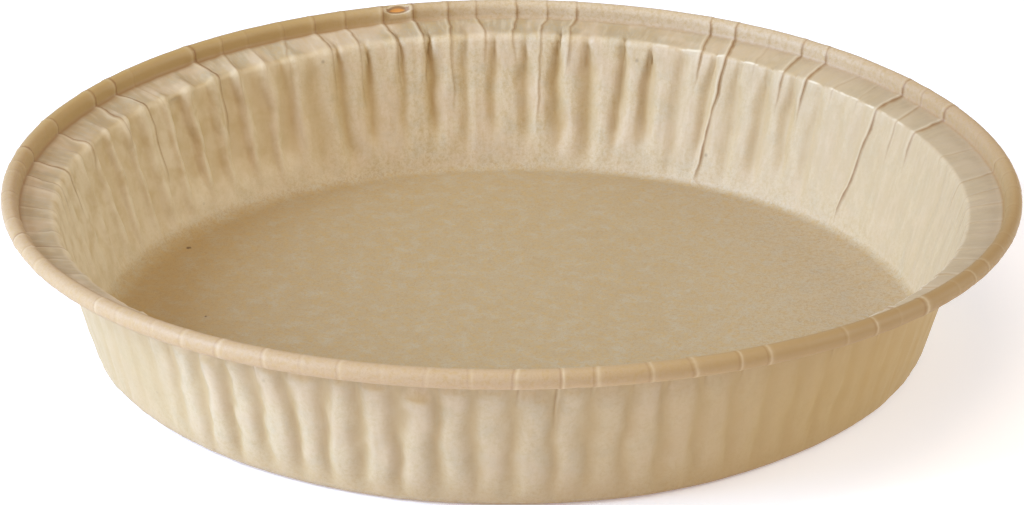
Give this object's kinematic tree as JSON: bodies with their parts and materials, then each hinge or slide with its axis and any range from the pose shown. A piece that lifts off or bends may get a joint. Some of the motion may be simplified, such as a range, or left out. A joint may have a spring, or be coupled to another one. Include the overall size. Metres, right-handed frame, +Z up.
{
  "type": "paper baking mould",
  "caption": "Round shallow baking mould of brown greaseproof paper with a fluted wall, a narrow pleated flange and a rolled rim.",
  "frame": {"origin": "centre of the underside of the floor, on the surface that the mould stands on", "axes": "+Z up through the open top, along the axis of the round dish"},
  "size_m": [0.2096, 0.2097, 0.0355],
  "materials": {
    "kraft_paper": "unbleached greaseproof paper, smooth with a slight sheen"
  },
  "bodies": {
    "root": {"paper_mould": "kraft_paper"}
  },
  "joints": []
}
